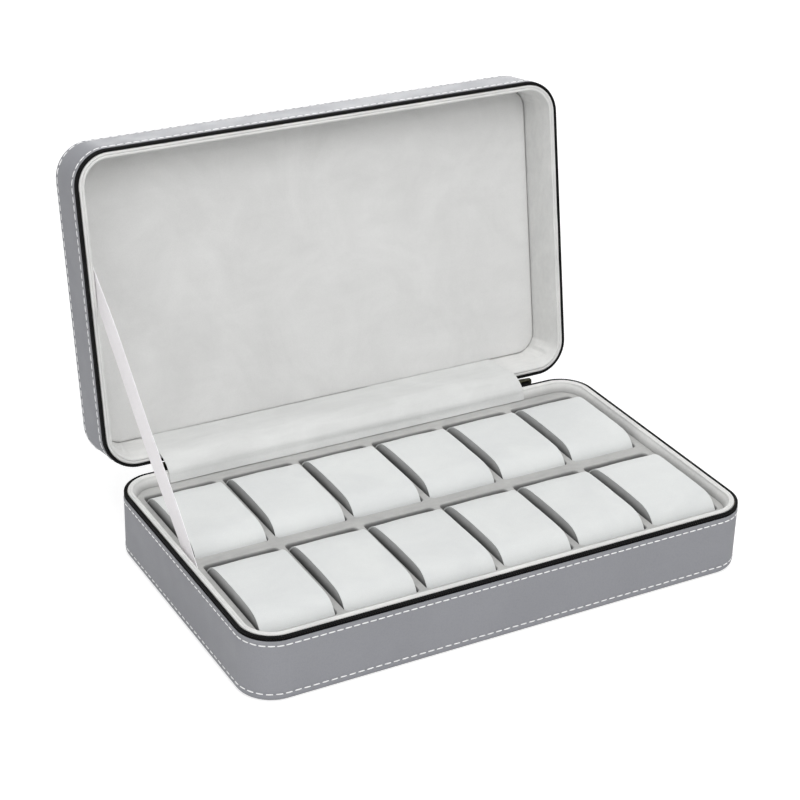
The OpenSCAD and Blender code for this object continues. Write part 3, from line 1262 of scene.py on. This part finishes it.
@dataclass
class RimLining:
    """Padded velvet inside both walls, with two soft rolls along each rim, in mm.

    The gathers are the small folds in the lid's corners: where they start and how
    deep they go, how far they reach from a corner's centre, and the two folds'
    heights.
    """

    base_rim: float = 42.8
    lid_rim: float = 43.2
    gather_top: float = 45.5
    gather_deep: float = 31.0
    gather_reach: float = 17.5
    folds: Point = (0.45, 0.25)

    def build(self) -> None:
        """Makes and dresses the base's and the lid's lining."""
        base = CASE.sweep("base_lining", self.base_section())
        ripple(base, 0.012, 0.25 * MM)
        soften(base, 50)
        wear(base, "base", "lining_velvet", Finish.LINING, "base_wall_lining")
        lid = CASE.sweep("lid_lining", self.lid_section(), turn=24)
        self.gather(lid)
        ripple(lid, 0.016, 0.5 * MM)
        soften(lid, 50)
        wear(onto_lid(lid), "lid", "lining_velvet", Finish.LINING, "lid_wall_lining")

    def gather(self, obj: Piece) -> None:
        """Draws the lid's cloth into small folds round its four corners.

        Args:
            obj: The lid's lining, in the shut case.
        """
        short, long = CASE.sides()
        wide, narrow = self.folds
        for v in obj.data.vertices:
            x, y = (abs(v.co.x) - long / 2) / MM, (abs(v.co.y) - short / 2) / MM
            depth = (v.co.z / MM - self.gather_top) / self.gather_deep
            if min(x, y, depth, self.gather_reach - math.hypot(x, y)) <= 0:
                continue
            a = math.atan2(y, x)
            fold = wide * math.sin(11 * a + 0.5 + 2 * depth) + narrow * math.sin(23 * a - 3 * depth)
            v.co += v.normal * fold * math.sin(2 * a) * math.sin(math.pi * min(1.0, depth)) * MM

    def rolls(self) -> list[Point]:
        """The two rolls, as distance in and height below the rim."""
        return [*roll((3.2, -0.9), 0.88, 175, 28, 7), *roll((4.85, -0.95), 0.9, 152, -8, 8)]

    def base_section(self) -> list[Point]:
        """Rolls, then a slightly full slope down to the tray, then the hidden wall.

        Returns:
            The section, as distance in and height in mm.
        """
        top = [(i, self.base_rim + z) for i, z in self.rolls()]
        slope = smooth_line([(5.75, 41.5), (6.75, 39.9), (7.55, 38.2), (8.1, 36.3)], 2)
        foot = [(7.8, 36.02), (5.1, 36.02), (5.05, 20), (5.05, 4)]
        return [*top, *slope, *foot, (3.55, 4), (3.55, 40.5), (2.35, 40.5)]

    def lid_section(self) -> list[Point]:
        """The same rolls turned over and one deep, padded wall down to the pad.

        Returns:
            The section, as distance in and height in mm.
        """
        top = [(i, self.lid_rim - z) for i, z in self.rolls()]
        wall = smooth_line(
            [(5.75, 44.6), (6.9, 49.5), (7.75, 56), (8.2, 64), (8.25, 70.5), (8.0, 74.5),
             (7.6, 76.3)], 3)
        hidden = [(3.55, 76.4), (3.55, 60), (3.55, 45.5), (2.35, 45.5)]
        return [*top, *wall, *hidden][::-1]


@dataclass
class LidPad:
    """The velvet panel that lines the inside of the lid, padded and rolled at its edge.

    Sizes are in mm. Swell gives the insets from the edge inwards, each with its
    rise.
    """

    inset: float = 8.6
    edge: float = 5.0
    back: float = 76.5
    swell: tuple[Point, ...] = (
        (0.15, 0.5), (0.4, 0.42), (0.6, 0.22), (1.0, 0.12), (2.0, 0.12), (3.5, 0.1), (4.0, 0.04)
    )

    def build(self) -> None:
        """Makes the panel by insets from its outline."""
        trim = 2 * self.inset * MM
        obj = started(
            "lid_pad", bpy.ops.mesh.primitive_plane_add, size=1,
            location=(0, 0, self.back * MM), scale=(CASE.width - trim, CASE.depth - trim, 1),
        )
        edit(obj, "VERT")
        bpy.ops.mesh.bevel(
            affect="VERTICES", offset=CASE.radius - self.inset * MM, segments=12, profile=0.5
        )
        bpy.ops.mesh.select_all(action="SELECT")
        down = (0, 0, -self.edge * MM)
        bpy.ops.mesh.extrude_region_move(TRANSFORM_OT_translate={"value": down})
        bpy.ops.mesh.normals_make_consistent(inside=False)
        done()
        edit(obj, "FACE", lambda f: f.normal.z < -0.9)
        for step, rise in self.swell:
            bpy.ops.mesh.inset(thickness=step * MM, depth=rise * MM)
        done()
        soften(obj, 50)
        wear(onto_lid(obj), "lid", "lining_velvet", Finish.PAD, "lid_pad_cover", "lid_pad_foam")


@dataclass
class HingeFabric:
    """The padded velvet liner inside the hinge and the leather spine outside it.

    Sizes are in mm. The ends are along the hinge.
    """

    liner_ends: Point = (-133.0, 123.0)
    spine_ends: Point = (-124.0, 124.0)
    columns: int = 60
    slack: float = 0.16

    def build(self) -> None:
        """Makes both sheets and bends them between base and lid."""
        liner = self.sheet("hinge_liner_velvet", self.liner_line(), self.liner_ends, 1.0)
        self.fill_out(liner)
        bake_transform(liner)
        wear(liner, "", "lining_velvet", Finish.LINER, "hinge_liner")
        spine = self.sheet("hinge_spine_leather", self.spine_line(), self.spine_ends, -1.0)
        soften(spine, 50)
        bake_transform(spine)
        wear(spine, "", "leather", Finish.SPINE_LEATHER, "hinge_spine")

    def liner_line(self) -> list[Point]:
        """The liner's underside from the tray, over both rims, to the lid's pad.

        Returns:
            The line, as depth and height in mm.
        """
        base = [(91.9, 36.1), (93.45, 40.3), (94.0, 42.0), (95.2, 43.7), (99.0, 46.3)]
        lid = [on_lid(*p) for p in ((93.4, 43.8), (93.1, 53.3), (92.4, 63.3), (91.9, 70.9))]
        return smooth_line([*base, (104.5, 48.4), *lid], 5)

    def spine_line(self) -> list[Point]:
        """The spine's inner face from the base's back to the lid's back."""
        base = [(100.05, 30), (100.25, 38.6), (102, 40.4), (106, 41.3)]
        return smooth_line([*base, on_lid(100.35, 47), on_lid(100.35, 56)], 5)

    def sheet(self, name: str, line: Sequence[Point], ends: Point, thick: float) -> Piece:
        """A sheet across the case, laid along a line in depth and height.

        Args:
            name: The new piece's name.
            line: Points of one face, in mm.
            ends: Where it starts and ends along the hinge, in mm.
            thick: Its thickness in mm, to the left of the line if positive.

        Returns:
            The sheet, with its thickness.
        """
        rows = len(line) - 1
        obj = started(
            name, bpy.ops.mesh.primitive_grid_add, x_subdivisions=self.columns,
            y_subdivisions=rows, size=2,
        )
        for v in obj.data.vertices:
            depth, height = line[round((v.co.y + 1) / 2 * rows)]
            along = ends[0] + (ends[1] - ends[0]) * (v.co.x + 1) / 2
            v.co = (along * MM, depth * MM, height * MM)
        modify(
            obj, "SOLIDIFY", thickness=abs(thick) * MM, offset=1 if thick > 0 else -1,
            use_even_offset=True,
        )
        return obj

    def fill_out(self, obj: Piece) -> None:
        """Pads the liner and gives it slack folds that run along the hinge.

        Args:
            obj: The liner.
        """
        low, high = self.liner_ends
        modify(
            obj, "BEVEL", width=0.42 * MM, segments=3, limit_method="ANGLE",
            angle_limit=math.radians(60),
        )
        for v in obj.data.vertices:
            x, y, z = v.co / MM
            run = y * 0.6 + z
            broad = math.sin(run / 2.6 + 0.9 * math.sin(x / 31))
            swell = broad + 0.6 * math.sin(run / 1.3 + x / 47)
            middle = (2 * x - low - high) / (high - low)
            v.co += v.normal * self.slack * swell * (1 - middle**6) * MM
        ripple(obj, 0.02, 0.5 * MM)
        soften(obj, 60)


@dataclass
class StayRibbon:
    """The flat satin ribbon that stops the lid, sewn to the tray wall and the lid.

    Sizes are in mm. Foot is its lower seam in the open case, and head its upper one
    in the shut case.
    """

    width: float = 13.5
    length: float = 184.2
    thick: float = 0.35
    foot: Place = (-159.8, -1.5, 37.6)
    head: Place = (-161.2, -22.0, 48.0)
    twist: float = 0.12
    steps: int = 60

    def build(self) -> None:
        """Makes the ribbon with its ends cut along the two seams."""
        foot = Vector(self.foot) * MM
        head = Vector((self.head[0], *on_lid(*self.head[1:]))) * MM
        up = (head - foot).normalized()
        across = up.cross(Vector((1, 0, 0))).normalized()
        span, half = (head - foot).length, self.width * MM / 2
        rise = math.asin(up.z)
        low = 1 / math.tan(rise)
        high = 1 / math.tan(math.pi - LID_OPEN - rise)
        obj = started(
            "stay_ribbon_satin", bpy.ops.mesh.primitive_grid_add, x_subdivisions=8,
            y_subdivisions=self.steps, size=2,
        )
        flat = {v.index: (v.co.x, (v.co.y + 1) / 2) for v in obj.data.vertices}
        self.unwrap(obj, flat, span / (2 * half))
        for v in obj.data.vertices:
            a, t = flat[v.index]
            start, end = a * half * low, span - a * half * high
            along = start + (end - start) * t
            ease = math.sin(math.pi * t)
            curl = 0.25 * ease * (a * a - 0.5) + 0.35 * ease * math.sin(9 * t + 0.6)
            twist = self.twist * min(1.0, 1.6 * ease)
            flat_way = across * math.cos(twist) - Vector((math.sin(twist), 0, 0))
            v.co = foot + flat_way * (a * half) + up * along + Vector((curl * MM, 0, 0))
        modify(obj, "SOLIDIFY", thickness=self.thick * MM, offset=0)
        soften(obj, 50)
        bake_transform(obj)
        wear(obj, "", "ribbon", Finish.RIBBON, "stay_ribbon")

    def unwrap(self, obj: Piece, flat: dict[int, Point], reach: float) -> None:
        """Lays the ribbon's own map out, so that its ribs follow it.

        Args:
            obj: The ribbon.
            flat: Each vertex's place across it, -1 to 1, and along it, 0 to 1.
            reach: Its length in widths.
        """
        uv = obj.data.uv_layers.active or obj.data.uv_layers.new(name="UVMap")
        for loop in obj.data.loops:
            a, t = flat[loop.vertex_index]
            uv.data[loop.index].uv = ((a + 1) / 2, t * reach)


# ---------------------------------------------------------------- tray and pillows


@dataclass
class Tray:
    """The velvet tray with twelve slots, softly rounded where the cloth turns in.

    Sizes are in mm. Pitch is between slots in a row and row is how far each row's
    middle is from the case's. A slot has its width, its length and the radius of
    its corners.
    """

    pitch: float = 52.3
    row: float = 44.2
    slot: Place = (47.5, 80.0, 3.0)
    top: float = 36.0
    deep: float = 31.6
    inset: float = 5.2
    turn_in: float = 1.5

    def centres(self) -> list[tuple[str, int, float, float]]:
        """Row name, number and centre of each slot, in mm."""
        return [
            (name, n + 1, (n - 2.5) * self.pitch, y)
            for name, y in (("back", self.row), ("front", -self.row))
            for n in range(6)
        ]

    def build(self) -> None:
        """Cuts the slots out of a slab and rounds their upper edges."""
        wide, long, corner = self.slot
        trim = 2 * self.inset
        size = (CASE.width / MM - trim, CASE.depth / MM - trim, self.deep)
        middle = (0, 0, self.top - self.deep / 2)
        slab = self.slab("tray_velvet", size, CASE.radius / MM - self.inset, middle)
        cutters = [
            self.slab("cutter", (wide, long, 80.0), corner, (x, y, self.top))
            for _, _, x, y in self.centres()
        ]
        cut(slab, joined("cutters", cutters))
        modify(
            slab, "BEVEL", width=self.turn_in * MM, segments=4, limit_method="ANGLE",
            angle_limit=math.radians(60),
        )
        soften(slab, 40)
        # The tray's finish carries painted shade: darker overall, and darker down the slots.
        wear(slab, "base", "lining_velvet", Finish.TRAY, "tray_velvet_cover")

    def slab(self, name: str, size: Place, corner: float, centre: Place) -> Piece:
        """Makes a block whose upright edges are rounded.

        Args:
            name: Its name.
            size: Its width, depth and height in mm.
            corner: Radius of its upright edges in mm.
            centre: Its centre in mm.

        Returns:
            The block.
        """
        obj = started(
            name, bpy.ops.mesh.primitive_cube_add, size=1,
            location=[c * MM for c in centre], scale=tuple(s * MM for s in size),
        )
        points = obj.data.vertices

        def upright(edge: bpy.types.MeshEdge) -> bool:
            """Says whether an edge stands up."""
            a, b = (points[k].co.z for k in edge.vertices)
            return abs(a - b) > size[2] * MM / 2

        edit(obj, "EDGE", upright)
        bpy.ops.mesh.bevel(offset=corner * MM, segments=8, affect="EDGES", profile=0.5)
        done()
        return obj


@dataclass
class WatchPillow:
    """A removable velvet pillow: a long band over the top and ends, and two sides.

    Sizes are in mm. Crown, cross and roll are the radii along the top, across it
    and at each end. The sides are drawn in by the waist at their middle, and sunk
    behind the band's hems.
    """

    tray: Tray
    half_w: float = 23.2
    half_d: float = 38.3
    low: float = 4.45
    top: float = 42.7
    crown_r: float = 600.0
    cross_r: float = 700.0
    roll_r: float = 15.0
    waist: float = 0.82
    hem: float = 0.7
    sunk: float = 0.5
    lip: float = 0.3
    cuts: int = 15
    forward: float = 1.0
    cap: float = 0.35

    def build(self) -> None:
        """Models three pillows and sets copies of them in the twelve slots."""
        moulds = [self.model(k) for k in range(3)]
        dice = random.Random(11)
        for row, n, x, y in self.tray.centres():
            mould = dice.choice(moulds)
            turn = math.radians(dice.uniform(-0.4, 0.4)) + dice.choice((0, math.pi))
            x += dice.uniform(-0.15, 0.15)
            y += dice.uniform(-0.25, 0.25) - self.forward
            place = Matrix.Translation(Vector((x, y, 0)) * MM) @ Matrix.Rotation(turn, 4, "Z")
            name = f"pillow_{row}_{n}"
            obj = twin(mould, f"{name}_velvet", place)
            finishes = (Finish.PILLOW, Finish.PILLOW_SIDE)
            wear(obj, name, "pillow_velvet", finishes, f"{name}_cover", f"{name}_foam")
        for mould in moulds:
            bpy.data.objects.remove(mould)

    def crown(self, y: float) -> float:
        """Height of the band along the pillow, over the roll at its end.

        Args:
            y: Distance from the pillow's middle in mm.

        Returns:
            The height in mm.
        """
        y = min(abs(y), self.half_d)
        roll_y = self.half_d - self.roll_r
        reach = self.crown_r - self.roll_r
        crown_z = self.top - self.crown_r
        if y <= roll_y * self.crown_r / reach:
            return crown_z + math.sqrt(self.crown_r**2 - y * y)
        roll_z = crown_z + math.sqrt(reach**2 - roll_y**2)
        return roll_z + math.sqrt(max(0.0, self.roll_r**2 - (y - roll_y) ** 2))

    def model(self, seed: int) -> Piece:
        """Makes one pillow about the origin, shaped from a cut-up cube.

        Args:
            seed: Number of the pillow, which settles its dents.

        Returns:
            The finished pillow.
        """
        dice = random.Random(40 + seed)
        obj = started(f"pillow_mould_{seed}", bpy.ops.mesh.primitive_cube_add, size=2)
        edit(obj, "EDGE")
        bpy.ops.mesh.subdivide(number_cuts=self.cuts)
        done()
        lean, dent = dice.uniform(-1, 1), dice.uniform(0.2, 0.6)
        for v in obj.data.vertices:
            u, s, h = v.co
            y = self.half_d * math.sin(s * math.pi / 2)
            up = (h + 1) / 2
            x = u * (self.half_w - self.waist * (1 - (y / self.half_d) ** 2))
            sag = x * x / 2 / self.cross_r
            z = self.low + (self.crown(y) - self.low - sag) * up
            z += self.lip * up**8 * max(0.0, abs(u) * 8 - 7)
            off = (x - 6 * lean) ** 2 + (y + 14 * lean) ** 2
            z -= dent * up**6 * math.exp(-off / 240)
            past = max(0.0, (abs(y) - self.half_d + self.roll_r) / self.roll_r)
            y -= math.copysign(sag * past, y)
            v.co = Vector((x, y, z)) * MM
        self.fill(obj)
        self.sew(obj)
        return obj

    def fill(self, obj: Piece) -> None:
        """Lets cloth under light pressure take up the cover, within a small cap.

        Args:
            obj: The pillow.
        """
        before = [v.co.copy() for v in obj.data.vertices]
        cloth = obj.modifiers.new("cover", "CLOTH")
        cloth.settings.use_pressure = True
        cloth.settings.uniform_pressure_force = 3
        cloth.settings.effector_weights.gravity = 0
        cloth.settings.tension_stiffness = cloth.settings.compression_stiffness = 30
        cloth.settings.bending_stiffness = 2
        cloth.point_cache.frame_start, cloth.point_cache.frame_end = 1, 20
        for step in range(1, 21):
            bpy.context.scene.frame_set(step)
        only(obj)
        bpy.ops.object.modifier_apply(modifier=cloth.name)
        bpy.context.scene.frame_set(1)
        cap = self.cap * MM
        for v, old in zip(obj.data.vertices, before, strict=True):
            move = v.co - old
            v.co = old + (move if move.length <= cap else move * (cap / move.length))
            v.co.z = max(v.co.z, self.low * MM)

    def sew(self, obj: Piece) -> None:
        """Sinks the side panels behind the band's hems and keeps the seams crisp.

        Args:
            obj: The pillow.
        """
        side = (self.half_w - 4) * MM
        edit(obj, "FACE", lambda f: abs(f.normal.x) > 0.8 and abs(f.center.x) > side)
        bpy.ops.mesh.inset(thickness=self.hem * MM, depth=-self.sunk * MM)
        done()
        # The sunk side panels get the side finish, darkened towards the bottom as painted shade.
        WARDROBE.dress(obj, Finish.PILLOW, Finish.PILLOW_SIDE)
        for face in obj.data.polygons:
            face.material_index = int(face.select)
        edit(obj, "EDGE", lambda e: False)
        bpy.ops.mesh.edges_select_sharp(sharpness=math.radians(42))
        bpy.ops.transform.edge_crease(value=0.75)
        done()
        modify(obj, "SUBSURF", levels=1, render_levels=1)
        ripple(obj, 0.011, 0.3 * MM)
        soften(obj, 45)


# ---------------------------------------------------------------- hidden structure


def dress_hidden() -> None:
    """Gives the boards, linings and foam inside the case their own finishes."""
    for name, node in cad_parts.items():
        if name.endswith(("board", "boards")):
            WARDROBE.dress(node, Finish.BOARD)
        # The slot floors take the tray's velvet, with its painted shade.
        elif name == "base_floor_lining":
            WARDROBE.dress(node, Finish.TRAY)
        elif name.endswith("foam"):
            WARDROBE.dress(node, Finish.FOAM)


# ---------------------------------------------------------------- studio


@dataclass
class Studio:
    """Pale floor, soft lamps and the camera at the photograph's angle.

    Eye is in mm, roll in degrees and lens in mm. Glow is how far the camera sees
    the floor lit by itself. Each lamp has its name, place, size and power.
    """

    eye: Place = (-563.363, -952.798, 676.513)
    look: Place = (0.437814, 0.773456, -0.458349)
    roll: float = 1.617
    lens: float = 94.175
    ambient: float = 0.42
    glow: float = 0.74
    aim: Place = (0, 0.04, 0.08)
    lamps: tuple[tuple[str, Place, float, float], ...] = (
        ("key", (0.05, -1.3, 1.6), 1.1, 15.5),
        ("top", (-0.1, -0.15, 1.9), 1.4, 15),
        ("left", (-1.6, -0.7, 0.9), 1.2, 6.5),
        ("rear", (0.8, 1.7, 0.55), 1.0, 10),
    )

    def build(self) -> None:
        """Sets the view transform and makes the camera, world, floor and lamps."""
        bpy.context.scene.view_settings.view_transform = "Standard"
        self.camera()
        self.world()
        self.floor()
        for lamp in self.lamps:
            self.lamp(*lamp)

    def camera(self) -> None:
        """Adds the camera that was worked out from the case's own lines."""
        forward = Vector(self.look).normalized()
        right = forward.cross(Vector((0, 0, 1))).normalized()
        up = right.cross(forward)
        cos, sin = math.cos(math.radians(self.roll)), math.sin(math.radians(self.roll))
        right, up = right * cos + up * sin, up * cos - right * sin
        data = bpy.data.cameras.new("camera")
        data.lens, data.sensor_width = self.lens, 36
        data.clip_start, data.clip_end = 0.05, 50
        obj = bpy.data.objects.new("camera", data)
        turn = Matrix((right, up, -forward)).transposed().to_4x4()
        obj.matrix_world = Matrix.Translation(Vector(self.eye) * MM) @ turn
        bpy.context.scene.collection.objects.link(obj)
        bpy.context.scene.camera = obj

    def world(self) -> None:
        """Makes a plain pale surround that the camera sees as white."""
        world = bpy.data.worlds.new("surround")
        world.use_nodes = True
        bpy.context.scene.world = world
        nodes, links = world.node_tree.nodes, world.node_tree.links
        soft = nodes["Background"]
        soft.inputs["Color"].default_value = (1, 1, 1, 1)
        soft.inputs["Strength"].default_value = self.ambient
        white = nodes.new("ShaderNodeBackground")
        white.inputs["Color"].default_value = (1, 1, 1, 1)
        path = nodes.new("ShaderNodeLightPath")
        either = nodes.new("ShaderNodeMath")
        either.operation = "MAXIMUM"
        links.new(path.outputs["Is Camera Ray"], either.inputs[0])
        links.new(path.outputs["Is Transmission Ray"], either.inputs[1])
        mix = nodes.new("ShaderNodeMixShader")
        for k, socket in enumerate((either.outputs[0], soft.outputs[0], white.outputs[0])):
            links.new(socket, mix.inputs[k])
        links.new(mix.outputs[0], nodes["World Output"].inputs["Surface"])

    def floor(self) -> None:
        """Adds a white floor that keeps a soft shadow of the case."""
        obj = started(
            "floor", bpy.ops.mesh.primitive_plane_add, size=8, location=(0, 0, -0.0002)
        )
        tree = Tree("floor_white")
        tree.finish(Base_Color=(0.42, 0.42, 0.42, 1), Roughness=0.9, Specular_IOR_Level=0.1)
        path = tree.add("LightPath").outputs["Is Camera Ray"]
        glow = tree.add("Emission", Color=(1, 1, 1, 1), Strength=self.glow).outputs[0]
        lit = tree.add("AddShader", I0=tree.shader.outputs[0], I1=glow).outputs[0]
        plain = tree.add("BsdfDiffuse", Color=(0.75, 0.75, 0.75, 1)).outputs[0]
        mix = tree.add("MixShader", Fac=path, I1=plain, I2=lit).outputs[0]
        tree.links.new(mix, tree.nodes["Material Output"].inputs["Surface"])
        obj.data.materials.append(tree.material)

    def lamp(self, name: str, place: Place, size: float, power: float) -> None:
        """Adds a square soft box aimed at the case.

        Args:
            name: Its name.
            place: Where it stands, in metres.
            size: Length of its sides in metres.
            power: Its power in watts.
        """
        data = bpy.data.lights.new(name, "AREA")
        data.shape, data.size, data.energy = "SQUARE", size, power
        obj = bpy.data.objects.new(name, data)
        turn = (Vector(self.aim) - Vector(place)).to_track_quat("-Z", "Y")
        obj.matrix_world = Matrix.Translation(place) @ turn.to_matrix().to_4x4()
        bpy.context.scene.collection.objects.link(obj)


def main() -> None:
    """Builds the case piece by piece, then the studio round it."""
    logging.basicConfig(level=logging.INFO, format="%(name)s: %(message)s")
    dress_hidden()
    tray = Tray()
    for part in (
        LeatherShell(), ZipRun(), ZipSlider(1, "right"), ZipSlider(-1, "left"), RimLining(),
        LidPad(), HingeFabric(), StayRibbon(), tray, WatchPillow(tray), Studio(),
    ):
        LOG.info("building %s", type(part).__name__)
        part.build()


if __name__ == "__main__":
    main()
